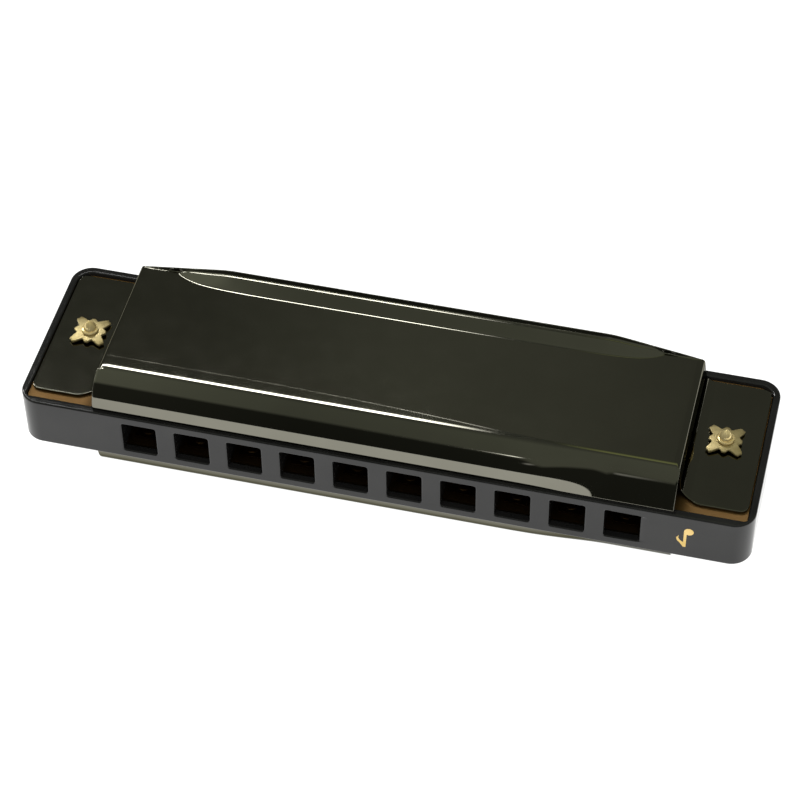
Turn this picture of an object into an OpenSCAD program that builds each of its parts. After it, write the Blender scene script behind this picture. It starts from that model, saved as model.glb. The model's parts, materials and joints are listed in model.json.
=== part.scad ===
// Ten-hole diatonic harmonica, lying with its draw side up.
// X runs along the row of holes, with hole 1 at the +X end, and -Y is the mouth side.
// The origin is below the middle of the harmonica, at its lowest point.

/* [Comb] */
// Length of the comb, end to end
comb_length = 102.4; // [100:0.1:108]
// Depth of the comb, from the mouth face to the back
comb_depth = 27.2; // [27:0.1:30]
// Thickness of the comb over its rims
comb_height = 8; // [7.8:0.1:9]
// Plan radius of the comb's corners
comb_corner = 3; // [1:0.1:4]
// Depth of the recess that each reed plate lies in
recess_depth = 1.4; // [1.3:0.05:1.6]
// Width of the rim at each end of the recess
end_rim = 1; // [0.6:0.1:1.5]
// Width of the rim on the mouth side of the recess
front_rim = 1.3; // [1:0.1:1.4]
// Width of the rim at the back of the recess
rear_rim = 1.2; // [0.8:0.1:1.3]

/* [Holes] */
// Number of holes
hole_count = 10; // [10:1:10]
// Distance from one hole to the next
hole_pitch = 7.5; // [7.2:0.1:7.8]
// Width of each hole and of its chamber
hole_width = 4.8; // [4.4:0.1:5]
// How far behind the middle of the comb the longest chamber ends
chamber_back_long = 7.8; // [7.6:0.1:8.4]
// How far behind the middle of the comb the shortest chamber ends
chamber_back_short = 0.9; // [0.8:0.1:3]

/* [Reed plates] */
// Thickness of a reed plate
plate_thickness = 0.9; // [0.8:0.05:1]
// Gap between a reed plate and the rim round it
plate_gap = 0.1; // [0.05:0.05:0.2]
// Radius of the small pins that hold a reed plate to the comb
pin_radius = 0.55; // [0.4:0.05:0.7]
// Radius of the heads of those pins
pin_head_radius = 1; // [0.8:0.05:1.2]
// Height of the heads of those pins
pin_head_height = 0.25; // [0.15:0.05:0.35]
// How far a pin or a nail goes into the comb
pin_depth = 2.2; // [1.5:0.1:2.4]

/* [Reeds] */
// Width of a reed's tongue
reed_width = 2.1; // [1.8:0.05:2.3]
// Thickness of a reed
reed_thickness = 0.2; // [0.15:0.05:0.2]
// Length of the longest draw tongue
draw_tongue_long = 15.5; // [14:0.5:15.5]
// Length of the shortest draw tongue
draw_tongue_short = 8.5; // [7.5:0.5:8.5]
// Length of the longest blow tongue
blow_tongue_long = 15; // [14:0.5:15]
// Length of the shortest blow tongue
blow_tongue_short = 8; // [7.5:0.5:8]
// Side of the square pad that the rivet goes through
pad_size = 3.2; // [2.8:0.1:3.2]
// Gap all round a tongue in its slot
slot_gap = 0.07; // [0.05:0.01:0.1]
// Gap under a reed's pad, and half of what the rivet leaves round it
reed_gap = 0.07; // [0.06:0.01:0.08]
// Radius of a rivet's shank
rivet_radius = 0.75; // [0.6:0.05:0.8]
// Radius of a rivet's head
rivet_head_radius = 1.1; // [0.95:0.05:1.2]
// Height of a rivet's head
rivet_head_height = 0.13; // [0.1:0.01:0.14]

/* [Covers] */
// Thickness of the cover sheet
sheet = 0.4; // [0.3:0.05:0.45]
// Half of the length of the raised part of a cover
dome_half = 40.4; // [39.5:0.1:41]
// Height of a cover's flat panel above the comb's rim
dome_height = 4.6; // [4.5:0.1:5.2]
// Height of a cover's back lip above the comb's rim
lip_height = 6.1; // [5.4:0.1:6.4]
// Half of the length of the level part of the lip
lip_half = 28.3; // [24:0.1:32]
// Where the step up to the lip starts, behind the middle of the comb
lip_start = 8.5; // [7.5:0.1:9]
// Where the step up to the lip ends, behind the middle of the comb
lip_end = 11.2; // [10.8:0.1:11.2]
// Where the lip's back edge is, behind the middle of the comb
lip_edge = 11.5; // [11.3:0.1:11.8]
// How far the front wall stands back from the comb's mouth face
wall_setback = 0.65; // [0.5:0.05:0.9]
// Radius of the bend from the front wall to the flat panel
front_bend = 4.4; // [4:0.1:4.4]
// Radius of the bend along the top of each end wall
end_top_bend = 0.6; // [0.5:0.05:1]
// Radius of the bend along the foot of each end wall
end_foot_bend = 1.2; // [0.6:0.05:1.4]
// Inward lean of each end wall, in degrees
end_lean = 6; // [2:1:8]
// Half of the length of a cover over its flanges
flange_half = 50; // [49.8:0.05:50]
// Front edge of a flange, in front of the middle of the comb
flange_front = 10.8; // [10:0.1:11.5]
// Back edge of a flange, behind the middle of the comb
flange_back = 11.8; // [11.5:0.1:12]

/* [Nails and washers] */
// Distance of each cover nail from the middle of the harmonica
nail_x = 45.1; // [44.5:0.1:46]
// Distance of each cover nail behind the middle of the comb
nail_y = 0.9; // [0:0.1:2]
// Radius of a cover nail's shank
nail_radius = 0.6; // [0.5:0.05:0.7]
// Clearance round the shank in the washer, the cover and the reed plate
nail_gap = 0.05; // [0.02:0.01:0.1]
// Radius of the collar under a nail's dome
nail_collar_radius = 1.2; // [1.1:0.05:1.5]
// Height of that collar
nail_collar_height = 0.4; // [0.2:0.05:0.5]
// Radius of a nail's dome
nail_dome_radius = 0.95; // [0.8:0.05:1.05]
// Height of a nail's dome
nail_dome_height = 1.4; // [1:0.05:1.6]
// Radius of a washer's four blunt corners
washer_corner = 3.2; // [3:0.05:3.6]
// Half of the angle that a blunt corner spans, in degrees
washer_corner_angle = 7; // [5:1:10]
// Radius of a washer's four small points, between the corners
washer_point = 2.3; // [2.2:0.05:2.7]
// Radius of the notches on each side of a small point
washer_notch = 1.9; // [1.8:0.05:2.2]
// Thickness of a washer's star
washer_thickness = 0.35; // [0.3:0.05:0.4]
// Radius of the foot that lifts the star off the cover
washer_foot_radius = 1.6; // [1.4:0.05:1.8]
// Height of that foot
washer_foot_height = 0.35; // [0.2:0.05:0.4]
// Turn of a washer about its nail, in degrees
washer_turn = 2; // [0:1:10]

/* [Key mark] */
// Where the inlaid note is along the mouth face
mark_x = 42.5; // [42:0.1:44]
// Height of the inlaid note
mark_height = 3.8; // [3:0.1:4.2]
// Depth of the inlay
mark_depth = 0.12; // [0.1:0.01:0.2]

/* [Hidden] */
$fn = 64;
// small overlap that keeps a cut clear of the face it opens
e = 0.05;

half_length = comb_length / 2;
half_depth = comb_depth / 2;
mid_z = lip_height + comb_height / 2;
comb_bottom = lip_height;
comb_top = comb_bottom + comb_height;
upper_floor = comb_top - recess_depth;
lower_floor = comb_bottom + recess_depth;
core_height = upper_floor - lower_floor;
plate_top = upper_floor + plate_thickness;
flange_top = plate_top + sheet;

recess_half = half_length - end_rim;
recess_front = -half_depth + front_rim;
recess_back = half_depth - rear_rim;
recess_front_corner = 0.6;
recess_rear_corner = 2;

draw_tip_y = -8.5;
blow_rivet_y = -9.3;
rivet_clearance = 0.05;

pin_xs = [-4 * hole_pitch, 0, 4 * hole_pitch];
pin_front_y = -10.6;
pin_back_y = 10.9;

panel_top = comb_top + dome_height;
wall_y = -half_depth + wall_setback;
bend_y = wall_y + front_bend;
bend_z = panel_top - front_bend;
end_edge_y = 11.1;
relief_top_y = -9.3;
lip_columns = 24;
lip_rows = 8;

// Place of hole i along the comb, counted from the +X end.
function hole_x(i) = ((hole_count + 1) / 2 - i) * hole_pitch;
// Value for hole i on a straight run from the first hole's value to the last one's.
function graded(i, first, last) = first + (last - first) * (i - 1) / (hole_count - 1);
function draw_tongue(i) = graded(i, draw_tongue_long, draw_tongue_short);
function blow_tongue(i) = graded(i, blow_tongue_long, blow_tongue_short);
function draw_rivet_y(i) = draw_tip_y + draw_tongue(i) + pad_size / 2;
function chamber_back(i) = graded(i, chamber_back_long, chamber_back_short);

// Points on an arc of radius r about c, from angle a to angle b.
function arc(c, r, a, b, steps = 8) =
    [for (k = [0:steps]) c + r * [cos(a + (b - a) * k / steps), sin(a + (b - a) * k / steps)]];

// Rectangle with one corner radius in front and another at the back.
function plan_outline(x0, x1, y0, y1, front_r, rear_r) = concat(
    arc([x1 - rear_r, y1 - rear_r], rear_r, 0, 90),
    arc([x0 + rear_r, y1 - rear_r], rear_r, 90, 180),
    arc([x0 + front_r, y0 + front_r], front_r, 180, 270),
    arc([x1 - front_r, y0 + front_r], front_r, 270, 360)
);

module rounded_rectangle(length, width, r) {
    square([length - 2 * r, width], center = true);
    square([length, width - 2 * r], center = true);
    for (sx = [-1, 1], sy = [-1, 1])
        translate([sx * (length / 2 - r), sy * (width / 2 - r)]) circle(r);
}

// Turns an upper piece into the matching lower one.
module below() {
    translate([0, 0, 2 * mid_z]) mirror([0, 0, 1]) children();
}

module left() {
    mirror([1, 0, 0]) children();
}

module nail_shafts(radius, z, height) {
    for (s = [-1, 1])
        translate([s * nail_x, nail_y, z]) cylinder(h = height, r = radius);
}

module pin_shafts(radius, z, height) {
    for (x = pin_xs, y = [pin_front_y, pin_back_y])
        translate([x, y, z]) cylinder(h = height, r = radius);
}

// ---- comb ----

module recess() {
    translate([0, 0, upper_floor])
        linear_extrude(recess_depth + e)
            polygon(plan_outline(-recess_half, recess_half, recess_front, recess_back,
                recess_front_corner, recess_rear_corner));
}

module mouth_hole(i) {
    translate([hole_x(i) - hole_width / 2, -half_depth - e, lower_floor])
        cube([hole_width, front_rim + 2 * e, core_height]);
}

module inner_chamber(i) {
    translate([hole_x(i) - hole_width / 2, recess_front, lower_floor - e])
        cube([hole_width, chamber_back(i) - recess_front, core_height + 2 * e]);
}

module comb() {
    color("#2b2c2e") difference() {
        translate([0, 0, comb_bottom])
            linear_extrude(comb_height)
                rounded_rectangle(comb_length, comb_depth, comb_corner);
        recess();
        below() recess();
        for (i = [1:hole_count]) {
            mouth_hole(i);
            inner_chamber(i);
        }
        nail_shafts(nail_radius, upper_floor - pin_depth, pin_depth + e);
        below() nail_shafts(nail_radius, upper_floor - pin_depth, pin_depth + e);
        pin_shafts(pin_radius, upper_floor - pin_depth, pin_depth + e);
        below() pin_shafts(pin_radius, upper_floor - pin_depth, pin_depth + e);
        mark(e);
    }
}

// ---- reed plates, reeds and rivets ----

module plate_blank() {
    linear_extrude(plate_thickness)
        polygon(plan_outline(-recess_half + plate_gap, recess_half - plate_gap,
            recess_front + plate_gap, recess_back - plate_gap,
            recess_front_corner, recess_rear_corner));
}

// Slot for a tongue, with the rivet at the origin and the tongue along +Y.
module slot(tongue) {
    translate([-reed_width / 2 - slot_gap, pad_size / 2, -e])
        cube([reed_width + 2 * slot_gap, tongue + slot_gap, plate_thickness + 2 * e]);
    translate([0, 0, -e]) cylinder(h = plate_thickness + 2 * e, r = rivet_radius);
}

module at_draw_reed(i) {
    translate([hole_x(i), draw_rivet_y(i), 0]) rotate([0, 0, 180]) children();
}

module at_blow_reed(i) {
    translate([hole_x(i), blow_rivet_y, 0]) children();
}

module draw_reed_plate() {
    color("#c9a45c") difference() {
        translate([0, 0, upper_floor]) plate_blank();
        for (i = [1:hole_count])
            at_draw_reed(i) translate([0, 0, upper_floor]) slot(draw_tongue(i));
        nail_shafts(nail_radius + nail_gap, upper_floor - e, plate_thickness + 2 * e);
        pin_shafts(pin_radius, upper_floor - e, plate_thickness + 2 * e);
    }
}

module blow_reed_plate() {
    color("#c9a45c") difference() {
        translate([0, 0, lower_floor - plate_thickness]) plate_blank();
        for (i = [1:hole_count])
            at_blow_reed(i) translate([0, 0, lower_floor - plate_thickness]) slot(blow_tongue(i));
        below() nail_shafts(nail_radius + nail_gap, upper_floor - e, plate_thickness + 2 * e);
        below() pin_shafts(pin_radius, upper_floor - e, plate_thickness + 2 * e);
    }
}

// Reed with its rivet hole at the origin, its tongue along +Y and its underside at z = 0.
module reed(tongue) {
    color("#d8b36a") linear_extrude(reed_thickness) difference() {
        union() {
            square(pad_size, center = true);
            translate([-reed_width / 2, 0]) square([reed_width, pad_size / 2 + tongue]);
        }
        circle(rivet_radius + reed_gap);
    }
}

module draw_reed(i) {
    at_draw_reed(i) translate([0, 0, plate_top + reed_gap]) reed(draw_tongue(i));
}

module blow_reed(i) {
    at_blow_reed(i) translate([0, 0, lower_floor + reed_gap]) reed(blow_tongue(i));
}

// Rivet whose reed lies on a plate with its top at z = 0.
module rivet() {
    head_z = reed_gap + reed_thickness + rivet_clearance;
    translate([0, 0, -plate_thickness]) cylinder(h = plate_thickness + head_z, r = rivet_radius);
    translate([0, 0, head_z]) cylinder(h = rivet_head_height, r = rivet_head_radius);
}

module draw_reed_rivets() {
    color("#b98f45") for (i = [1:hole_count])
        at_draw_reed(i) translate([0, 0, plate_top]) rivet();
}

module blow_reed_rivets() {
    color("#b98f45") for (i = [1:hole_count])
        at_blow_reed(i) translate([0, 0, lower_floor]) rivet();
}

module upper_plate_pins() {
    color("#9a9890") {
        pin_shafts(pin_radius, upper_floor - pin_depth, pin_depth + plate_thickness);
        pin_shafts(pin_head_radius, plate_top, pin_head_height);
    }
}

module lower_plate_pins() {
    below() upper_plate_pins();
}

// ---- covers ----

// Side view of the front wall and its bend, one sheet thick.
module front_section() {
    translate([wall_y, comb_top]) square([sheet, bend_z - comb_top]);
    translate([bend_y, bend_z]) difference() {
        intersection() {
            circle(front_bend);
            translate([-front_bend - e, 0]) square([front_bend + e, front_bend + e]);
        }
        circle(front_bend - sheet);
    }
}

// End view of the flange's root, the end wall and the bend on to the panel, one sheet thick.
module end_section() {
    normal = [cos(end_lean), sin(end_lean)];
    top_c = [dome_half - end_top_bend, panel_top - end_top_bend];
    foot_z = flange_top + end_foot_bend;
    reach = top_c * normal + end_top_bend + end_foot_bend;
    foot_c = [(reach - foot_z * sin(end_lean)) / cos(end_lean), foot_z];
    polygon(concat(
        [[foot_c.x + 1, flange_top]],
        arc(foot_c, end_foot_bend, 270, 180 + end_lean),
        arc(top_c, end_top_bend, end_lean, 90),
        [[top_c.x - 1, panel_top], [top_c.x - 1, panel_top - sheet]],
        arc(top_c, end_top_bend - sheet, 90, end_lean),
        arc(foot_c, end_foot_bend + sheet, 180 + end_lean, 270),
        [[foot_c.x + 1, plate_top]]
    ));
}

// Side view of an end wall, whose front edge leans back to leave a relief beside the front wall.
module end_side() {
    polygon([
        [-flange_front, plate_top - e],
        [end_edge_y, plate_top - e],
        [end_edge_y, panel_top + e],
        [relief_top_y, panel_top + e],
        [relief_top_y - 0.6, comb_top + 4.2],
        [-flange_front + 0.1, comb_top + 1.5]
    ]);
}

module along_x(from, to) {
    translate([from, 0, 0]) rotate([90, 0, 90]) linear_extrude(to - from) children();
}

module along_y(from, to) {
    translate([0, to, 0]) rotate([90, 0, 0]) linear_extrude(to - from) children();
}

module end_wall() {
    intersection() {
        along_y(-flange_front, end_edge_y) end_section();
        along_x(dome_half - 2, flange_half) end_side();
    }
}

module flange() {
    inner = dome_half + end_foot_bend;
    translate([0, 0, plate_top]) linear_extrude(sheet)
        polygon(plan_outline(inner, flange_half, -flange_front, flange_back, 1.2, 1.2));
}

// How far the lip has risen at x along the cover, from 0 at an end wall to 1.
function ramp(x) = min(1, max(0, (dome_half - end_top_bend - abs(x)) / (dome_half - lip_half)));
// S-shaped step from 0 to 1.
function step_up(v) = v * v * (3 - 2 * v);
function lip_z(x, y) = panel_top + (lip_height - dome_height) * ramp(x)
    * step_up(min(1, max(0, (y - lip_start) / (lip_end - lip_start))));
function lip_back(x) = end_edge_y + (lip_edge - end_edge_y) * ramp(x);

// Back of the panel with the raised lip, as a bent sheet.
module lip() {
    half = dome_half - end_top_bend;
    points = [for (layer = [0, 1], c = [0:lip_columns], r = [0:lip_rows])
        let (x = -half + 2 * half * c / lip_columns)
        let (y = lip_start + (lip_back(x) - lip_start) * r / lip_rows)
        [x, y, lip_z(x, y) - layer * sheet]];
    row = lip_rows + 1;
    layer = row * (lip_columns + 1);
    top = [for (c = [0:lip_columns - 1], r = [0:lip_rows - 1])
        let (p = c * row + r) [p, p + 1, p + row + 1, p + row]];
    edge = concat(
        [for (r = [0:lip_rows]) r],
        [for (c = [1:lip_columns]) c * row + lip_rows],
        [for (r = [1:lip_rows]) lip_columns * row + lip_rows - r],
        [for (c = [1:lip_columns - 1]) (lip_columns - c) * row]
    );
    split = [for (f = top) each [[f[0], f[1], f[2]], [f[0], f[2], f[3]]]];
    under = [for (f = split) [f[2] + layer, f[1] + layer, f[0] + layer]];
    sides = [for (k = [0:len(edge) - 1])
        let (a = edge[k], b = edge[(k + 1) % len(edge)])
        each [[a, a + layer, b + layer], [a, b + layer, b]]];
    polyhedron(points, concat(split, under, sides));
}

module cover_half() {
    end_wall();
    flange();
}

module upper_cover() {
    color("#3d3c37") difference() {
        union() {
            along_x(-dome_half, dome_half) front_section();
            translate([-dome_half + end_top_bend, bend_y, panel_top - sheet])
                cube([2 * (dome_half - end_top_bend), lip_start - bend_y, sheet]);
            lip();
            cover_half();
            left() cover_half();
        }
        nail_shafts(nail_radius + nail_gap, plate_top - e, sheet + 2 * e);
    }
}

module lower_cover() {
    below() upper_cover();
}

// ---- washers and nails ----

// Point of a washer's outline, at an angle from a small point.
function star_point(r, a) = r * [cos(a + washer_turn), sin(a + washer_turn)];
// Outline of a washer: four blunt corners with a small point between each two.
function washer_outline() = [for (q = [0:90:270]) each [
    star_point(washer_point, q),
    star_point(washer_notch, q + 20),
    star_point(washer_corner, q + 45 - washer_corner_angle),
    star_point(washer_corner, q + 45 + washer_corner_angle),
    star_point(washer_notch, q + 70)
]];

module washer() {
    color("#c8a24e") translate([nail_x, nail_y, flange_top]) difference() {
        union() {
            cylinder(h = washer_foot_height, r = washer_foot_radius);
            translate([0, 0, washer_foot_height])
                linear_extrude(washer_thickness) polygon(washer_outline());
        }
        translate([0, 0, -e])
            cylinder(h = washer_foot_height + washer_thickness + 2 * e, r = nail_radius + nail_gap);
    }
}

module nail() {
    head_z = flange_top + washer_foot_height + washer_thickness;
    shank_z = upper_floor - pin_depth;
    color("#caa75a") translate([nail_x, nail_y, 0]) {
        translate([0, 0, shank_z]) cylinder(h = head_z - shank_z, r = nail_radius);
        translate([0, 0, head_z]) cylinder(h = nail_collar_height, r = nail_collar_radius);
        translate([0, 0, head_z + nail_collar_height]) rotate_extrude() polygon(concat(
            [[0, 0]],
            [for (k = [0:12]) [nail_dome_radius * cos(90 * k / 12), nail_dome_height * sin(90 * k / 12)]]
        ));
    }
}

// ---- key mark ----

// Inlaid eighth note, upright when the harmonica is held to play.
module mark(extra = 0) {
    head = mark_height * 0.17;
    stem_left = 0;
    stem_right = mark_height * 0.1;
    foot = head - mark_height / 2;
    color("#d9b766")
        translate([mark_x, mark_depth - half_depth, mid_z])
            rotate([90, 180, 0])
                linear_extrude(mark_depth + extra) {
                    translate([stem_right - head, foot]) circle(head);
                    polygon(concat([[stem_left, foot], [stem_right, foot]], mark_height * [
                        [0.1, 0.26], [0.23, 0.16], [0.29, 0.05], [0.27, -0.08],
                        [0.36, 0.06], [0.32, 0.2], [0.2, 0.34], [0.1, 0.5], [0, 0.5]
                    ]));
                }
}

module key_mark() {
    mark();
}

comb();
draw_reed_plate();
blow_reed_plate();
draw_reed(1);  // draw_reed_1
draw_reed(2);  // draw_reed_2
draw_reed(3);  // draw_reed_3
draw_reed(4);  // draw_reed_4
draw_reed(5);  // draw_reed_5
draw_reed(6);  // draw_reed_6
draw_reed(7);  // draw_reed_7
draw_reed(8);  // draw_reed_8
draw_reed(9);  // draw_reed_9
draw_reed(10);  // draw_reed_10
blow_reed(1);  // blow_reed_1
blow_reed(2);  // blow_reed_2
blow_reed(3);  // blow_reed_3
blow_reed(4);  // blow_reed_4
blow_reed(5);  // blow_reed_5
blow_reed(6);  // blow_reed_6
blow_reed(7);  // blow_reed_7
blow_reed(8);  // blow_reed_8
blow_reed(9);  // blow_reed_9
blow_reed(10);  // blow_reed_10
draw_reed_rivets();
blow_reed_rivets();
upper_plate_pins();
lower_plate_pins();
upper_cover();
lower_cover();
left() washer();  // upper_left_washer
washer();  // upper_right_washer
below() left() washer();  // lower_left_washer
below() washer();  // lower_right_washer
left() nail();  // upper_left_nail
nail();  // upper_right_nail
below() left() nail();  // lower_left_nail
below() nail();  // lower_right_nail
key_mark();
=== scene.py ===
import json
import math

import bmesh
import bpy
from mathutils import Matrix, Vector


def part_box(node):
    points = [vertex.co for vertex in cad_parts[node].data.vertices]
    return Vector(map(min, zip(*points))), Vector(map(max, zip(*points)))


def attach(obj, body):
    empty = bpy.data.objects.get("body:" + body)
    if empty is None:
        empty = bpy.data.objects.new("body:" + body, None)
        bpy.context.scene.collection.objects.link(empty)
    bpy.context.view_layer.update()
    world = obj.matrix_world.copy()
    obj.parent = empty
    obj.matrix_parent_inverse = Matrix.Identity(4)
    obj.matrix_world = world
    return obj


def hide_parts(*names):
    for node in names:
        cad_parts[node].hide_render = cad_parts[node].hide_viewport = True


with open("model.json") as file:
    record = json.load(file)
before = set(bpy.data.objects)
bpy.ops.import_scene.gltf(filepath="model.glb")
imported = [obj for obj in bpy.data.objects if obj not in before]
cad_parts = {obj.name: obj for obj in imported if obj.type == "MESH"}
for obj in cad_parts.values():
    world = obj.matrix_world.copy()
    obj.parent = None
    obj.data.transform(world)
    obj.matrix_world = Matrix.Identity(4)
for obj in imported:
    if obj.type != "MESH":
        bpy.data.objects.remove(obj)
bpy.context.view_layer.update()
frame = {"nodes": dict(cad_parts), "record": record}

MM = 0.001
BODY = "harmonica"

# ---- places and sizes taken from the frame ----

comb_lo, comb_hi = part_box("comb")
cover_lo, cover_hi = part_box("upper_cover")
plate_lo, plate_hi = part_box("draw_reed_plate")
RIM_Z = comb_hi.z
MID_Z = (comb_lo.z + comb_hi.z) / 2
PLATE_TOP = plate_hi.z
RECESS_FLOOR = plate_lo.z
WALL_Y = cover_lo.y
FLANGE_BACK = cover_hi.y
FLANGE_HALF = cover_hi.x
LIP_Z = cover_hi.z
PANEL_Z = next(m["pos_m"][2] for m in frame["record"]["mounts"] if m["name"] == "upper_panel")

# ---- the covers' own shape ----

# Thickness of the sheet, and the top of the flanges that lie on the reed plate
SHEET = 0.4 * MM
FLANGE_TOP = PLATE_TOP + SHEET
# Half of the raised part's length, out to the bends along its top
DOME_HALF = 40.4 * MM
# Bends along the top and the foot of each end wall, and the wall's inward lean
TOP_BEND = 0.6 * MM
FOOT_BEND = 1.2 * MM
END_LEAN = math.radians(6)
# Bend from the front wall to the panel
FRONT_BEND = 4.4 * MM
# Lean of the front wall at the +X end
WALL_LEAN = math.radians(27)
# Front edge of a flange, and of the end wall's top, which leaves a relief beside the front wall
FLANGE_FRONT = -10.8 * MM
RELIEF_Y = -9.3 * MM
# Back edge of the cover at the end walls and along the level part of the lip
END_EDGE_Y = 11.1 * MM
LIP_EDGE = 11.5 * MM
# Where the step up to the lip starts, half of the lip's level length, and the tips of its broad step
LIP_START = 8.45 * MM
LIP_HALF = 28.3 * MM
LIP_TIP = DOME_HALF - 5.7 * MM
# Where the panel's rows of points end and the lip's begin
LIP_ROWS_FROM = LIP_START - 0.4 * MM

# ---- the comb's own shape ----

HOLE_COUNT = 10
HOLE_PITCH = 7.5 * MM
# How far the inlaid note stands out of the mouth face
INLAY_PROUD = 0.02 * MM


# ---- mesh helpers ----

def new_object(name, mesh):
    obj = bpy.data.objects.new(name, mesh)
    bpy.context.scene.collection.objects.link(obj)
    return obj


def mesh_object(name, verts, faces):
    mesh = bpy.data.meshes.new(name)
    mesh.from_pydata([tuple(v) for v in verts], [], faces)
    mesh.validate()
    mesh.shade_smooth()
    return new_object(name, mesh)


def apply_modifiers(obj):
    """Bakes the modifiers into the mesh, so that every view and export sees the same surface."""
    depsgraph = bpy.context.evaluated_depsgraph_get()
    mesh = bpy.data.meshes.new_from_object(obj.evaluated_get(depsgraph))
    old = obj.data
    obj.modifiers.clear()
    obj.data = mesh
    bpy.data.meshes.remove(old)


def add_bevel(obj, width, segments=2, angle=40):
    bevel = obj.modifiers.new("edges", "BEVEL")
    bevel.width = width
    bevel.segments = segments
    bevel.limit_method = "ANGLE"
    bevel.angle_limit = math.radians(angle)
    bevel.use_clamp_overlap = False
    bevel.miter_outer = "MITER_ARC"


def add_weighted_normals(obj):
    normals = obj.modifiers.new("normals", "WEIGHTED_NORMAL")
    normals.weight = 50
    normals.keep_sharp = False


def place(obj, slot, material, *nodes, body=BODY):
    """Gives a finished piece its material and lets it stand for its CAD nodes."""
    obj.data.materials.clear()
    obj.data.materials.append(material)
    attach(obj, body)
    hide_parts(*nodes)


def mirrored_below(verts, faces):
    """The lower twin of an upper piece, with its faces turned to stay outward."""
    return [(x, y, 2 * MID_Z - z) for x, y, z in verts], [tuple(reversed(f)) for f in faces]


# ---- covers ----

def bend_rows(begin, end, height, depth, steps=48):
    """Side view (y, z) of a sheet that turns from a wall leaning by begin to a tilt of end.

    The turn is an arc when the wall is upright; a leaning wall stays nearly straight for longer.
    """
    def path(power):
        y, z, points = 0.0, 0.0, [(0.0, 0.0)]
        for k in range(steps):
            angle = begin + (end - begin) * ((k + 0.5) / steps) ** power
            y, z = y + math.sin(angle), z + math.cos(angle)
            points.append((y, z))
        return points

    low, high = 0.4, 8.0
    for _ in range(30):
        power = (low + high) / 2
        y, z = path(power)[-1]
        if z / y < height / depth:
            low = power
        else:
            high = power
    points = path(power)
    return [(y * depth / points[-1][0], z * height / points[-1][1]) for y, z in points]


def front_rows(x):
    """Side view of the front wall, its bend and the start of the panel at x, from the bottom up.

    Towards +X the wall leans back from its foot. A faint ripple runs along behind the bend.
    """
    fade_steps, fade_step = 26, 0.1 * MM
    fade_from, fade_length = math.radians(3.5), 0.35 * MM
    lean_from, lean_length = 17 * MM, 16 * MM
    begin = WALL_LEAN * smooth((x - lean_from) / lean_length)
    nearer = max(0.0, (x + 25 * MM) / (40 * MM))
    ripple_at, ripple_width = (-6.7 - 1.35 * nearer ** 2) * MM, 0.12 * MM
    ripple = math.radians(1.1 + 0.2 * nearer) * smooth(2.2 - 1.3 * nearer)
    foot = RIM_Z + 0.05 * MM
    fade_rise = fade_length * math.tan(fade_from)
    height = PANEL_Z - foot - fade_rise
    depth = FRONT_BEND * (1 - math.sin(fade_from))
    rows = bend_rows(begin, math.pi / 2 - fade_from, height, depth)
    y, z = rows[-1]
    for k in range(fade_steps):
        slope = fade_from * math.exp(-(k + 0.5) * fade_step / fade_length)
        off = (WALL_Y + y + fade_step / 2 - ripple_at) / ripple_width
        slope += ripple * math.exp(-off * off)
        y, z = y + fade_step * math.cos(slope), z + fade_step * math.sin(slope)
        rows.append((y, z))
    return [(WALL_Y + y, PANEL_Z + z - rows[-1][1]) for y, z in rows]


def smooth(v):
    """0 to 1 with no kink in slope or curvature at either end."""
    v = min(1.0, max(0.0, v))
    return v * v * v * (v * (6 * v - 15) + 10)


def ramp(x):
    """How far the lip's edge has risen at x, from 0 at an end wall to 1, with a soft shoulder."""
    soft = 0.1
    u = max(0.0, (DOME_HALF - TOP_BEND - abs(x)) / (DOME_HALF - LIP_HALF))
    if u <= 1 - soft:
        return u
    if u >= 1 + soft:
        return 1.0
    return u - (u - 1 + soft) ** 2 / (4 * soft)


def soft_step(v):
    """0 to 1 with an even slope that eases in and out."""
    ease = 0.3
    v = min(1.0, max(0.0, v))
    slope = 1 / (1 - 1.5 * ease)
    if v < ease:
        return slope * ease / 4 * (v / ease) ** 4
    if v > 1 - ease:
        return 1 - slope * ease / 4 * ((1 - v) / ease) ** 4
    return slope * (v - 0.75 * ease)


def lip_rows(x, count):
    """(y, z) down the back of the panel at x: a broad step up to a crest, then a crease to the edge.

    The step ends in a rounded tip towards each end wall, where its foot sweeps back to the crest
    and the crease takes over the whole rise.
    """
    broad_share = 0.65
    rise = (LIP_Z - PANEL_Z) * ramp(x)
    edge = END_EDGE_Y + (LIP_EDGE - END_EDGE_Y) * ramp(x)
    inside = LIP_TIP - abs(x)
    grown = 1 - (1 - min(1.0, max(0.0, inside / (2.4 * MM)))) ** 3
    crest, crease_end = edge - (0.22 + 0.15 * grown) * MM, edge - 0.12 * MM
    foot = LIP_START + 2.2 * MM * math.exp(-max(0.0, inside) / (2.6 * MM))
    foot = min(foot, crest - 0.2 * MM)
    share = broad_share * grown
    rows = []
    for k in range(1, count + 1):
        y = LIP_ROWS_FROM + (edge - LIP_ROWS_FROM) * k / count
        step = soft_step((y - foot) / (crest - foot))
        crease = min(1.0, max(0.0, (y - crest) / (crease_end - crest)))
        rows.append((y, PANEL_Z + rise * (share * step + (1 - share) * crease)))
    return rows


def foot_centre():
    """Centre of the bend between an end wall and the flange, in the end view."""
    nx, nz = math.cos(END_LEAN), math.sin(END_LEAN)
    reach = (DOME_HALF - TOP_BEND) * nx + (PANEL_Z - TOP_BEND) * nz + TOP_BEND + FOOT_BEND
    z = FLANGE_TOP + FOOT_BEND
    return (reach - z * nz) / nx, z


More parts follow.
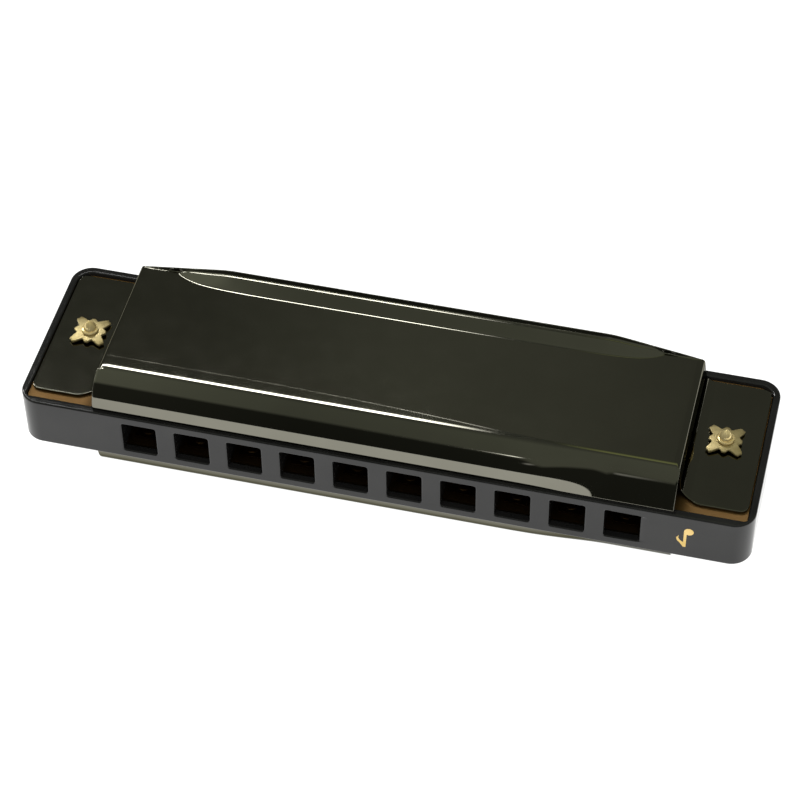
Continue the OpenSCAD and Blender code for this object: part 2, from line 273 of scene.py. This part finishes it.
def end_section():
    """End view from the panel's side edge to the flange's outer edge, as (x, z)."""
    nx, nz = math.cos(END_LEAN), math.sin(END_LEAN)
    top_x, top_z = DOME_HALF - TOP_BEND, PANEL_Z - TOP_BEND
    foot_x, foot_z = foot_centre()
    points = []
    for k in range(1, 8):
        a = math.pi / 2 + (END_LEAN - math.pi / 2) * k / 7
        points.append((top_x + TOP_BEND * math.cos(a), top_z + TOP_BEND * math.sin(a)))
    wall_from = points[-1]
    wall_to = (foot_x - FOOT_BEND * nx, foot_z - FOOT_BEND * nz)
    for k in range(1, 9):
        t = k / 9
        points.append((wall_from[0] + (wall_to[0] - wall_from[0]) * t,
                       wall_from[1] + (wall_to[1] - wall_from[1]) * t))
    for k in range(0, 11):
        a = math.pi + END_LEAN + (math.pi / 2 - END_LEAN) * k / 10
        points.append((foot_x + FOOT_BEND * math.cos(a), foot_z + FOOT_BEND * math.sin(a)))
    for k in range(1, 31):
        points.append((foot_x + (FLANGE_HALF - foot_x) * k / 30, FLANGE_TOP))
    return points


def end_outline(x, z):
    """Front and back edge of the end piece at one point of its section.

    The front edge moves out from the relief to the flange's front around the foot bend, and the
    flange's outer corners are round.
    """
    down = min(1.0, max(0.0, (PANEL_Z - z) / (PANEL_Z - FLANGE_TOP)))
    turned = math.acos(max(-1.0, 1 - max(0.0, z - FLANGE_TOP) / FOOT_BEND))
    along = FOOT_BEND * turned - max(0.0, x - foot_centre()[0])
    share = 1 - smooth((along + 2 * MM) / (4 * MM))
    front = RELIEF_Y + (FLANGE_FRONT - RELIEF_Y) * share
    back = END_EDGE_Y + (FLANGE_BACK - END_EDGE_Y) * down
    corner = 1.2 * MM
    past = x - (FLANGE_HALF - corner)
    if past > 0:
        trim = corner - math.sqrt(max(0.0, corner ** 2 - past ** 2))
        front, back = front + trim, back - trim
    return front, back


def spread(start, end, count):
    """Evenly spaced places from start up to, but not including, end."""
    return [start + (end - start) * k / count for k in range(count)]


def cover_mesh():
    """Outer surface of the upper cover as one sheet: vertices and faces."""
    front = front_rows(0)
    panel_from = front[-1][0]
    panel_rows, lip_count = 14, 30
    panel_depth = LIP_ROWS_FROM - panel_from
    panel = [panel_from + panel_depth * k / panel_rows for k in range(1, panel_rows + 1)]
    half = DOME_HALF - TOP_BEND
    tip_from = LIP_TIP - 3 * MM
    places = spread(-half, -LIP_TIP, 10) + spread(-LIP_TIP, -tip_from, 20)
    places += spread(-tip_from, tip_from, 130)
    places += spread(tip_from, LIP_TIP, 20) + spread(LIP_TIP, half, 10) + [half]
    verts, faces = [], []

    def add(x, y, z):
        verts.append((x, y, z))
        return len(verts) - 1

    def quads(a, b):
        """Faces between two columns of vertices that run front to back, b on the +X side of a."""
        for k in range(len(a) - 1):
            faces.append((a[k], b[k], b[k + 1], a[k + 1]))

    grid = []
    for c, x in enumerate(places):
        rows = front_rows(x) + [(y, PANEL_Z) for y in panel] + lip_rows(x, lip_count)
        grid.append([add(x, y, z) for y, z in rows])
        if c:
            quads(grid[c - 1], grid[c])

    split = next(k for k, (y, z) in enumerate(front) if y >= RELIEF_Y and z > PANEL_Z - MM)
    section = end_section()
    for side in (-1, 1):
        seam = grid[-1] if side > 0 else grid[0]
        last = seam[:split + 1]
        for k in (1, 2):
            x = side * (half + TOP_BEND * k / 2)
            column = [add(x, verts[i][1], verts[i][2]) for i in seam[:split + 1]]
            quads(last, column) if side > 0 else quads(column, last)
            last = column
        last = seam[split:]
        y0, y1 = verts[seam[split]][1], verts[seam[-1]][1]
        for x, z in section:
            fy, by = end_outline(x, z)
            down = min(1.0, (PANEL_Z - z) / (PANEL_Z - FLANGE_TOP))
            column = []
            for i in seam[split:]:
                t = (verts[i][1] - y0) / (y1 - y0)
                dip = (PANEL_Z - verts[i][2]) * (1 - down) if verts[i][2] < PANEL_Z else 0.0
                column.append(add(side * x, fy + (by - fy) * t, z - dip))
            quads(last, column) if side > 0 else quads(column, last)
            last = column
    return verts, faces


def make_cover(name, verts, faces, material):
    obj = mesh_object(name, verts, faces)
    thick = obj.modifiers.new("sheet", "SOLIDIFY")
    thick.thickness = SHEET
    thick.offset = -1
    thick.use_even_offset = True
    add_bevel(obj, 0.08 * MM, segments=2, angle=50)
    add_weighted_normals(obj)
    apply_modifiers(obj)
    place(obj, "cover_plating", material, name.replace("_shell", ""))


# ---- materials ----

def material_nodes(name):
    material = bpy.data.materials.new(name)
    material.use_nodes = True
    nodes, links = material.node_tree.nodes, material.node_tree.links
    return material, nodes, links, nodes["Principled BSDF"]


def noise(nodes, links, scale, detail=4.0, stretch=None):
    """Noise in the object's own metres; stretch scales each axis, for brushed or drawn marks."""
    coords = nodes.new("ShaderNodeTexCoord")
    texture = nodes.new("ShaderNodeTexNoise")
    texture.inputs["Scale"].default_value = scale
    texture.inputs["Detail"].default_value = detail
    texture.inputs["Roughness"].default_value = 0.55
    if stretch is None:
        links.new(coords.outputs["Object"], texture.inputs["Vector"])
    else:
        mapping = nodes.new("ShaderNodeMapping")
        mapping.inputs["Scale"].default_value = stretch
        links.new(coords.outputs["Object"], mapping.inputs["Vector"])
        links.new(mapping.outputs["Vector"], texture.inputs["Vector"])
    return texture.outputs["Fac"]


def ranged(nodes, links, value, low, high, from_low=0.3, from_high=0.7):
    """A value carried from one range to another, clamped."""
    scale = nodes.new("ShaderNodeMapRange")
    scale.inputs["From Min"].default_value = from_low
    scale.inputs["From Max"].default_value = from_high
    scale.inputs["To Min"].default_value = low
    scale.inputs["To Max"].default_value = high
    links.new(value, scale.inputs["Value"])
    return scale.outputs["Result"]


def colour_ramp(nodes, links, value, stops):
    """A colour ramp from a list of (position, grey or colour)."""
    ramp_node = nodes.new("ShaderNodeValToRGB")
    elements = ramp_node.color_ramp.elements
    while len(elements) < len(stops):
        elements.new(0.5)
    for element, (position, _) in zip(list(elements), stops):
        element.position = position
    for element, (_, colour) in zip(list(elements), stops):
        element.color = (*colour, 1) if isinstance(colour, tuple) else (colour, colour, colour, 1)
    links.new(value, ramp_node.inputs["Fac"])
    return ramp_node.outputs["Color"]


def blended(nodes, links, value, dark, light):
    """Two close colours that follow the middle of a noise."""
    return colour_ramp(nodes, links, value, [(0.35, dark), (0.65, light)])


def mixed(nodes, links, blend, one, other, factor=None):
    """One colour mixed with another, in full or by factor."""
    mix = nodes.new("ShaderNodeMix")
    mix.data_type = "RGBA"
    mix.blend_type = blend
    mix.inputs[0].default_value = 1.0
    if factor is not None:
        links.new(factor, mix.inputs[0])
    links.new(one, mix.inputs[6])
    links.new(other, mix.inputs[7])
    return mix.outputs[2]


def bump(nodes, links, shader, heights):
    """Chains bumps of (height socket, depth in metres) into the shader's normal."""
    normal = None
    for height, depth in heights:
        node = nodes.new("ShaderNodeBump")
        node.inputs["Strength"].default_value = 1.0
        node.inputs["Distance"].default_value = depth
        links.new(height, node.inputs["Height"])
        if normal is not None:
            links.new(normal, node.inputs["Normal"])
        normal = node.outputs["Normal"]
    links.new(normal, shader.inputs["Normal"])


def metal(name, dark, light, rough, tone_scale=90, mark_scale=2200, mark_depth=0.0004 * MM,
          stretch=None, edge=(1, 1, 1), metallic=1.0, shade=1.0):
    """Metal with a slow tone change, cloudy roughness and fine surface marks.

    dark and light bound its tone and rough its roughness. The scales are of the noises behind the
    tone and the marks, per metre. shade is painted shade: it darkens the colour of what lies under the
    covers.
    """
    material, nodes, links, shader = material_nodes(name)
    shader.inputs["Metallic"].default_value = metallic
    colour = blended(nodes, links, noise(nodes, links, tone_scale), dark, light)
    if metallic < 1:
        shader.inputs["IOR"].default_value = 1.15
    if shade < 1:
        # Painted shade: the colour is darker where the covers hide the part.
        coords = nodes.new("ShaderNodeTexCoord")
        split = nodes.new("ShaderNodeSeparateXYZ")
        links.new(coords.outputs["Object"], split.inputs["Vector"])
        along = nodes.new("ShaderNodeMath")
        along.operation = "ABSOLUTE"
        links.new(split.outputs["X"], along.inputs[0])
        painted_shade = ranged(nodes, links, along.outputs[0], shade, 1, DOME_HALF, DOME_HALF + 2 * MM)
        colour = mixed(nodes, links, "MULTIPLY", colour, painted_shade)
    links.new(colour, shader.inputs["Base Color"])
    links.new(ranged(nodes, links, noise(nodes, links, tone_scale * 4, detail=6), *rough),
              shader.inputs["Roughness"])
    shader.inputs["Specular Tint"].default_value = (*edge, 1)
    marks = noise(nodes, links, mark_scale, detail=3, stretch=stretch)
    bump(nodes, links, shader, [(marks, mark_depth)])
    return material


def worn_and_highlit_edges(material, radius, colour, rough):
    """Makes the cut edges of sheet metal paler and duller than its faces: partly wear, partly a painted
    highlight for the bright line of light along them.
    """
    nodes, links = material.node_tree.nodes, material.node_tree.links
    shader = nodes["Principled BSDF"]
    soft = nodes.new("ShaderNodeBevel")
    soft.samples = 6
    soft.inputs["Radius"].default_value = radius
    face = nodes.new("ShaderNodeNewGeometry")
    turn = nodes.new("ShaderNodeVectorMath")
    turn.operation = "DOT_PRODUCT"
    links.new(soft.outputs["Normal"], turn.inputs[0])
    links.new(face.outputs["Normal"], turn.inputs[1])
    mask = ranged(nodes, links, turn.outputs["Value"], 1, 0, 0.82, 0.97)
    plain = shader.inputs["Base Color"].links[0].from_socket
    # Pale edge colour: partly wear, partly a painted highlight along the edges.
    worn_and_highlit = blended(nodes, links, noise(nodes, links, 700), tuple(0.85 * c for c in colour), colour)
    links.new(mixed(nodes, links, "MIX", plain, worn_and_highlit, mask), shader.inputs["Base Color"])
    dull = nodes.new("ShaderNodeMapRange")
    links.new(mask, dull.inputs["Value"])
    links.new(shader.inputs["Roughness"].links[0].from_socket, dull.inputs["To Min"])
    dull.inputs["To Max"].default_value = rough
    links.new(dull.outputs["Result"], shader.inputs["Roughness"])


def plastic(name, dark, light, rough):
    """Moulded plastic: near-black, with a fine grain and slightly uneven gloss."""
    material, nodes, links, shader = material_nodes(name)
    links.new(blended(nodes, links, noise(nodes, links, 160), dark, light),
              shader.inputs["Base Color"])
    links.new(ranged(nodes, links, noise(nodes, links, 420, detail=5), *rough),
              shader.inputs["Roughness"])
    shader.inputs["IOR"].default_value = 1.45
    grain = noise(nodes, links, 5200, detail=2)
    bump(nodes, links, shader, [(grain, 0.0012 * MM)])
    return material


plating = metal("black_nickel", (0.186, 0.180, 0.148), (0.200, 0.194, 0.160), (0.03, 0.05),
                mark_scale=60, mark_depth=0.0003 * MM, edge=(0.3, 0.3, 0.28))
# The covers' pale edges are partly wear and partly a painted highlight.
worn_and_highlit_edges(plating, 0.16 * MM, (0.74, 0.72, 0.63), 0.45)
comb_plastic = plastic("comb_black", (0.008, 0.008, 0.008), (0.013, 0.0128, 0.0125), (0.05, 0.08))
# The reed plates get painted shade where the covers hide them.
plate_brass = metal("plate_brass", (0.34, 0.195, 0.078), (0.44, 0.26, 0.108), (0.55, 0.65),
                    mark_scale=1500, mark_depth=0.001 * MM, stretch=(0.15, 1, 1), shade=0.4)
draw_brass = metal("draw_reed_brass", (0.34, 0.21, 0.085), (0.44, 0.29, 0.12), (0.24, 0.36),
                   mark_scale=2500, mark_depth=0.0008 * MM, stretch=(1, 0.08, 1))
# The blow reeds are a darker copy of the reed brass: painted shade inside the chambers.
shaded_blow_brass = metal("blow_reed_brass_painted_shade", (0.10, 0.062, 0.026), (0.14, 0.09, 0.04), (0.34, 0.46),
                   mark_scale=2500, mark_depth=0.0008 * MM, stretch=(1, 0.08, 1))
# The rivets get painted shade where the covers hide them.
rivet_brass = metal("rivet_brass", (0.40, 0.26, 0.11), (0.50, 0.34, 0.15), (0.3, 0.42), shade=0.4)
pin_steel = metal("pin_steel", (0.50, 0.49, 0.46), (0.60, 0.59, 0.56), (0.22, 0.36))
washer_gold = metal("washer_gold", (0.46, 0.37, 0.17), (0.57, 0.47, 0.24), (0.3, 0.4),
                    tone_scale=420, mark_scale=900, mark_depth=0.0006 * MM, metallic=0.85)
nail_gold = metal("nail_gold", (0.80, 0.62, 0.27), (0.92, 0.75, 0.38), (0.12, 0.2),
                  tone_scale=420, mark_scale=1100, mark_depth=0.0006 * MM, metallic=0.6)
mark_gold = metal("mark_gold", (0.66, 0.46, 0.15), (0.78, 0.57, 0.24), (0.25, 0.38),
                  tone_scale=500, mark_scale=3000, mark_depth=0.002 * MM)


# ---- comb ----

def rounded_outline(x0, x1, y0, y1, front_r, back_r, steps):
    """A rectangle with round corners, which may have one radius in front and another behind."""
    corners = ((x1 - back_r, y1 - back_r, back_r, 0),
               (x0 + back_r, y1 - back_r, back_r, 90),
               (x0 + front_r, y0 + front_r, front_r, 180),
               (x1 - front_r, y0 + front_r, front_r, 270))
    points = []
    for cx, cy, r, a0 in corners:
        for k in range(steps + 1):
            a = math.radians(a0 + 90 * k / steps)
            points.append((cx + r * math.cos(a), cy + r * math.sin(a)))
    return points


def prism(bm, outline, z0, z1):
    """Adds an upright prism over an outline that runs anticlockwise."""
    low = [bm.verts.new((x, y, z0)) for x, y in outline]
    high = [bm.verts.new((x, y, z1)) for x, y in outline]
    bm.faces.new(list(reversed(low)))
    bm.faces.new(high)
    for k in range(len(outline)):
        n = (k + 1) % len(outline)
        bm.faces.new((low[k], low[n], high[n], high[k]))


def box_prism(bm, x0, x1, y0, y1, z0, z1):
    prism(bm, [(x0, y0), (x1, y0), (x1, y1), (x0, y1)], z0, z1)


def hole_x(number):
    """Place of a hole; hole 1 is at the +X end."""
    return ((HOLE_COUNT + 1) / 2 - number) * HOLE_PITCH


def bm_object(name, bm):
    mesh = bpy.data.meshes.new(name)
    bm.to_mesh(mesh)
    bm.free()
    return new_object(name, mesh)


def cut(obj, cutter):
    """Takes the cutter out of an object, and then removes the cutter."""
    boolean = obj.modifiers.new("cut", "BOOLEAN")
    boolean.operation = "DIFFERENCE"
    boolean.solver = "EXACT"
    boolean.use_self = True
    boolean.object = cutter
    apply_modifiers(obj)
    mesh = cutter.data
    bpy.data.objects.remove(cutter)
    bpy.data.meshes.remove(mesh)


def make_comb():
    """Comb with a recess on both faces, its mouth holes, and chambers that shorten from hole 1 on."""
    half, depth = comb_hi.x, comb_hi.y
    end_rim, front_rim, rear_rim = 1.0 * MM, 1.3 * MM, 1.2 * MM
    recess_x, recess_y0, recess_y1 = half - end_rim, front_rim - depth, depth - rear_rim
    hole_half = 2.4 * MM
    floor_z, roof_z = 2 * MID_Z - RECESS_FLOOR, RECESS_FLOOR
    longest_back, shortening = 7.8 * MM, 6.9 * MM
    past = 0.5 * MM
    face_y = INLAY_PROUD - depth
    bm = bmesh.new()
    prism(bm, rounded_outline(-half, half, face_y, depth, 3 * MM, 3 * MM, 14), comb_lo.z, comb_hi.z)
    comb = bm_object("comb_body", bm)
    bm = bmesh.new()
    recess = rounded_outline(-recess_x, recess_x, recess_y0, recess_y1, 0.6 * MM, 2 * MM, 8)
    prism(bm, recess, roof_z, comb_hi.z + past)
    prism(bm, recess, comb_lo.z - past, floor_z)
    cut(comb, bm_object("recess_cutter", bm))
    bm = bmesh.new()
    for number in range(1, HOLE_COUNT + 1):
        x = hole_x(number)
        back = longest_back - shortening * (number - 1) / (HOLE_COUNT - 1)
        box_prism(bm, x - hole_half, x + hole_half, -depth - past, recess_y0 + 0.02 * MM, floor_z, roof_z)
        box_prism(bm, x - hole_half, x + hole_half, recess_y0, back, floor_z - past, roof_z + past)
    cut(comb, bm_object("hole_cutter", bm))
    comb.data.shade_smooth()
    add_bevel(comb, 0.26 * MM, segments=3, angle=35)
    add_weighted_normals(comb)
    apply_modifiers(comb)
    place(comb, "comb_plastic", comb_plastic, "comb")


# ---- washers, nails and rivets ----

def lathe(profile, centre, steps=40):
    """Vertices and faces of a turned shape: profile is (radius, height) from the bottom axis to the top."""
    verts, faces = [], []
    rings = []
    for r, h in profile:
        if r == 0:
            verts.append((centre[0], centre[1], centre[2] + h))
            rings.append([len(verts) - 1])
        else:
            ring = []
            for k in range(steps):
                a = 2 * math.pi * k / steps
                verts.append((centre[0] + r * math.cos(a), centre[1] + r * math.sin(a), centre[2] + h))
                ring.append(len(verts) - 1)
            rings.append(ring)
    for low, high in zip(rings, rings[1:]):
        for k in range(steps):
            n = (k + 1) % steps
            if len(low) == 1:
                faces.append((low[0], high[n], high[k]))
            elif len(high) == 1:
                faces.append((low[k], low[n], high[0]))
            else:
                faces.append((low[k], low[n], high[n], high[k]))
    return verts, faces


def arc_profile(cr, ch, r, a0, a1, steps):
    """(radius, height) points on an arc about (cr, ch), angles in degrees from outward."""
    return [(cr + r * math.cos(math.radians(a0 + (a1 - a0) * k / steps)),
             ch + r * math.sin(math.radians(a0 + (a1 - a0) * k / steps))) for k in range(steps + 1)]


def nail_profile(shank, head):
    """Cover nail from its tip at -shank to its pointed dome; height 0 is the washer's top."""
    collar_r, collar_h, dome_r = 1.19 * MM, 0.4 * MM, 0.92 * MM
    round_r = 0.14 * MM
    dome_rows = 15
    points = [(0, -shank), (0.35 * MM, -shank + 0.1 * MM), (0.6 * MM, -shank + 0.8 * MM),
              (0.6 * MM, 0), (collar_r - round_r, 0)]
    points += arc_profile(collar_r - round_r, round_r, round_r, -70, 0, 3)
    points += arc_profile(collar_r - round_r, collar_h - round_r, round_r, 0, 80, 4)
    points += [(dome_r + 0.02 * MM, collar_h - 0.02 * MM), (dome_r - 0.03 * MM, collar_h)]
    dome_h = head - collar_h
    for k in range(1, dome_rows):
        u = k / dome_rows
        points.append((dome_r * (1 - u ** 1.8) ** 0.75, collar_h + dome_h * u))
    return points + [(0, head)]


def star_mesh(centre, turn, base_z):
    """Cupped star of a cover washer: four blunt corners with a small point between each two.

    Its outline is (angle, radius) from a small point to the middle of a corner, mirrored and repeated.
    """
    steps, rings = 120, 7
    thickness, hole = 0.3 * MM, 0.66 * MM
    corner, point, notch = 3.2, 2.3, 1.9
    verts, faces = [], []
    half_side = [(0, point), (6, point - 0.04), (14, notch + 0.12), (20, notch), (26, notch + 0.22),
                 (34, corner - 0.4), (38, corner), (45, corner - 0.1)]
    stops = half_side + [(90 - a, r) for a, r in reversed(half_side[:-1])]

    def reach(a):
        quarter = math.degrees(a) % 90
        for (a0, r0), (a1, r1) in zip(stops, stops[1:]):
            if a0 <= quarter <= a1:
                return (r0 + (r1 - r0) * (quarter - a0) / (a1 - a0)) * MM
        return point * MM

    def height(r):
        """Top of the star, level round the hole and lower towards the corners."""
        level_r, droop_length = 1.2 * MM, 2.0 * MM
        return 0.7 * MM - 0.2 * MM * max(0.0, (r - level_r) / droop_length) ** 1.5

    for layer in (0, 1):
        for ring in range(rings + 1):
            for k in range(steps):
                a = 2 * math.pi * k / steps
                r = hole + (reach(a) - hole) * ring / rings
                z = base_z + height(r) - layer * thickness
                if layer and ring < 2:
                    z = min(z, base_z + (ring - 1) * 0.12 * MM)
                verts.append((centre[0] + r * math.cos(a + turn), centre[1] + r * math.sin(a + turn), z))
    size = steps * (rings + 1)
    for ring in range(rings):
        for k in range(steps):
            n = (k + 1) % steps
            a, b = ring * steps, (ring + 1) * steps
            faces.append((a + k, b + k, b + n, a + n))
            faces.append((size + a + n, size + b + n, size + b + k, size + a + k))
    outer = rings * steps
    for k in range(steps):
        n = (k + 1) % steps
        faces.append((outer + k, size + outer + k, size + outer + n, outer + n))
        faces.append((n, size + n, size + k, k))
    return verts, faces


def joined(parts):
    """Several (verts, faces) as one."""
    verts, faces = [], []
    for part_verts, part_faces in parts:
        base = len(verts)
        verts += part_verts
        faces += [tuple(base + i for i in f) for f in part_faces]
    return verts, faces


def make_fasteners():
    """A washer and a nail at each end of both covers."""
    washer_turn = math.radians(2)
    for end in ("left", "right"):
        lo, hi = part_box(f"upper_{end}_washer")
        nail_lo, nail_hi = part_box(f"upper_{end}_nail")
        centre = ((nail_lo.x + nail_hi.x) / 2, (nail_lo.y + nail_hi.y) / 2)
        star = star_mesh(centre, washer_turn, lo.z)
        nail = lathe(nail_profile(hi.z - nail_lo.z, nail_hi.z - hi.z), (*centre, hi.z))
        for level in ("upper", "lower"):
            star_part = star if level == "upper" else mirrored_below(*star)
            nail_part = nail if level == "upper" else mirrored_below(*nail)
            washer = mesh_object(f"{level}_{end}_star", *star_part)
            add_bevel(washer, 0.05 * MM, segments=2, angle=55)
            add_weighted_normals(washer)
            apply_modifiers(washer)
            place(washer, "washer_gold", washer_gold, f"{level}_{end}_washer")
            piece = mesh_object(f"{level}_{end}_dome_nail", *nail_part)
            place(piece, "nail_gold", nail_gold, f"{level}_{end}_nail")


def make_rivets(level):
    """Domed rivets in place of the plain CAD ones, one for each reed."""
    group = f"{level}_reed_rivets"
    lo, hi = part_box(group)
    profile = [(0, 0), (0.75 * MM, 0)]
    height = hi.z - lo.z
    head = 0.13 * MM
    profile += [(0.75 * MM, height - head), (1.06 * MM, height - head)]
    profile += [(1.1 * MM, height - head * 0.7), (1.05 * MM, height - head * 0.4),
                (0.85 * MM, height - head * 0.12), (0.5 * MM, height), (0, height)]
    parts = []
    half_pad = 1.6 * MM
    for number in range(1, HOLE_COUNT + 1):
        reed_lo, reed_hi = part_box(f"{level}_reed_{number}")
        y = reed_hi.y - half_pad if level == "draw" else reed_lo.y + half_pad
        parts.append(lathe(profile, (hole_x(number), y, lo.z), steps=28))
    rivets = mesh_object(f"{level}_rivets", *joined(parts))
    place(rivets, "rivet_brass", rivet_brass, group)


def finish_cad_nodes():
    """Materials for the CAD nodes that are shown as they are."""
    finishes = {"draw_reed_plate": plate_brass, "blow_reed_plate": plate_brass, "key_mark": mark_gold,
                "upper_plate_pins": pin_steel, "lower_plate_pins": pin_steel}
    for level in ("draw", "blow"):
        for number in range(1, HOLE_COUNT + 1):
            finishes[f"{level}_reed_{number}"] = draw_brass if level == "draw" else shaded_blow_brass
    for name, material in finishes.items():
        mesh = frame["nodes"][name].data
        mesh.materials.clear()
        mesh.materials.append(material)


# ---- stage ----

def make_floor():
    bm = bmesh.new()
    bmesh.ops.create_grid(bm, x_segments=1, y_segments=1, size=3)
    floor = bm_object("floor", bm)
    floor.location.z = -0.02 * MM
    material, nodes, links, shader = material_nodes("floor_white")
    tone = blended(nodes, links, noise(nodes, links, 3), (0.34, 0.34, 0.34), (0.38, 0.38, 0.38))
    links.new(tone, shader.inputs["Base Color"])
    shader.inputs["Roughness"].default_value = 0.9
    shader.inputs["Emission Color"].default_value = (1, 1, 1, 1)
    shader.inputs["Emission Strength"].default_value = 0.95
    floor.data.materials.append(material)


def make_world():
    """A dim room with one long strip light high behind the harmonica and two small lamps in front.

    Everything is placed by its angle on the arch over the harmonica and by its X direction, across.
    """
    world = bpy.data.worlds.new("studio")
    bpy.context.scene.world = world
    world.use_nodes = True
    nodes, links = world.node_tree.nodes, world.node_tree.links
    coords = nodes.new("ShaderNodeTexCoord")
    split = nodes.new("ShaderNodeSeparateXYZ")
    links.new(coords.outputs["Generated"], split.inputs["Vector"])
    over = nodes.new("ShaderNodeMath")
    over.operation = "ARCTAN2"
    links.new(split.outputs["Y"], over.inputs[0])
    links.new(split.outputs["Z"], over.inputs[1])
    arch = ranged(nodes, links, over.outputs[0], 0, 1, -math.pi / 2, math.pi / 2)
    across = ranged(nodes, links, split.outputs["X"], 0, 1, -0.5, 0.5)

    def at(degrees):
        """Place on the arch from the front horizon (0) over the top (90) to the back one (180)."""
        return degrees / 180

    def light(arch_stops, across_stops, strength):
        """A background that is the product of two ramps, one over the arch and one along X."""
        node = nodes.new("ShaderNodeBackground")
        over_arch = colour_ramp(nodes, links, arch, arch_stops)
        along_x = colour_ramp(nodes, links, across, across_stops)
        links.new(mixed(nodes, links, "MULTIPLY", over_arch, along_x), node.inputs["Color"])
        node.inputs["Strength"].default_value = strength
        return node.outputs[0]

    # The front of the room is dark below a line that drops towards +X and then rises a little.
    lowered = colour_ramp(nodes, links, across, [
        (0.3, 0.0), (0.34, at(3)), (0.385, at(6)), (0.4, at(10)), (0.42, at(19)), (0.45, at(25)),
        (0.49, at(17)), (0.56, at(14))])
    shifted = nodes.new("ShaderNodeMath")
    shifted.operation = "ADD"
    links.new(arch, shifted.inputs[0])
    links.new(lowered, shifted.inputs[1])
    dark_front = colour_ramp(nodes, links, shifted.outputs[0], [(at(51), 0.17), (at(60), 1.0)])
    ceiling = colour_ramp(nodes, links, arch, [
        (at(0), (0.26, 0.27, 0.225)), (at(110), (0.30, 0.32, 0.26)), (at(124), (0.18, 0.19, 0.16)),
        (at(128.5), (0.11, 0.12, 0.10)), (at(130), 0.0)])
    sides = colour_ramp(nodes, links, across, [(0.0, 1.4), (0.16, 1.35), (0.3, 0.62), (0.45, 0.8)])
    background = nodes["Background"]
    lit = mixed(nodes, links, "MULTIPLY", ceiling, sides)
    links.new(mixed(nodes, links, "MULTIPLY", lit, dark_front), background.inputs["Color"])
    background.inputs["Strength"].default_value = 1.0
    room = background.outputs[0]
    back = light([(at(128.5), 0.0), (at(130), (0.128, 0.133, 0.110))],
                 [(0.26, 0.74), (0.333, 1.3), (0.4, 1.15), (0.45, 0.85)], 1.0)
    strip = light([(at(125.6), 0.0), (at(126.4), 1.0), (at(128.4), 1.0), (at(129.2), 0.0)],
                  [(0.1, 0.5), (0.28, 0.6), (0.335, 0.6), (0.353, 0.2), (0.366, 0.0), (0.39, 0.0),
                   (0.41, (0.011, 0.012, 0.004))], 36.0)
    near_lamp = light([(at(51), 0.0), (at(52), 1.0), (at(53), 1.0), (at(54), 0.0)],
                      [(0.367, 0.0), (0.376, 1.0), (0.384, 1.0), (0.396, 0.0)], 5.0)
    far_lamp = light([(at(30), 0.0), (at(34), 1.0), (at(38), 0.0)],
                     [(0.4, 0.0), (0.41, 1.0), (0.416, 1.0), (0.43, 0.0)], 0.7)
    total = room
    for part in (back, strip, near_lamp, far_lamp):
        sum_node = nodes.new("ShaderNodeAddShader")
        links.new(total, sum_node.inputs[0])
        links.new(part, sum_node.inputs[1])
        total = sum_node.outputs[0]
    links.new(total, nodes["World Output"].inputs["Surface"])


def add_area(name, position, target, size, power):
    data = bpy.data.lights.new(name, "AREA")
    data.shape = "RECTANGLE"
    data.size, data.size_y = size
    data.energy = power
    light = bpy.data.objects.new(name, data)
    bpy.context.scene.collection.objects.link(light)
    light.location = position
    light.rotation_euler = (Vector(target) - Vector(position)).to_track_quat("-Z", "Y").to_euler()
    return light


def sky_point(azimuth, elevation, distance):
    """A point seen from the harmonica; azimuth 0 is straight behind it and positive is towards +X."""
    a, e = math.radians(azimuth), math.radians(elevation)
    return (distance * math.sin(a) * math.cos(e), distance * math.cos(a) * math.cos(e),
            distance * math.sin(e))


def make_lights():
    """Soft light from above, behind and in front, for the matt parts; the plating doesn't show it."""
    for name, azimuth, elevation, power in (("soft", -30, 60, 6.0), ("fill", 170, 45, 8.0)):
        light = add_area(name, sky_point(azimuth, elevation, 1.2), (0, 0, 0), (0.6, 0.6), power)
        light.visible_glossy = False


def make_camera():
    """Long lens in front of the harmonica, to the right and above, rolled by a hair."""
    azimuth, elevation = math.radians(14.304), math.radians(47.567)
    distance, roll = 379.5 * MM, math.radians(0.8387)
    target = Vector((0.38 * MM, -1.65 * MM, RIM_Z))
    back = Vector((math.sin(azimuth) * math.cos(elevation),
                   -math.cos(azimuth) * math.cos(elevation), math.sin(elevation)))
    forward = -back
    right = forward.cross(Vector((0, 0, 1))).normalized()
    down = forward.cross(right).normalized()
    right, down = (math.cos(roll) * right + math.sin(roll) * down,
                   -math.sin(roll) * right + math.cos(roll) * down)
    data = bpy.data.cameras.new("camera")
    data.sensor_width = 36
    data.lens = 124.2
    data.clip_start, data.clip_end = 0.01, 20
    camera = bpy.data.objects.new("camera", data)
    bpy.context.scene.collection.objects.link(camera)
    camera.matrix_world = Matrix((
        (right.x, -down.x, back.x, (target + back * distance).x),
        (right.y, -down.y, back.y, (target + back * distance).y),
        (right.z, -down.z, back.z, (target + back * distance).z),
        (0, 0, 0, 1)))
    bpy.context.scene.camera = camera


make_camera()
make_floor()
make_world()
make_lights()
bpy.context.scene.view_settings.view_transform = "Standard"

upper = cover_mesh()
make_cover("upper_cover_shell", *upper, plating)
make_cover("lower_cover_shell", *mirrored_below(*upper), plating)
make_comb()
make_fasteners()
make_rivets("draw")
make_rivets("blow")
finish_cad_nodes()
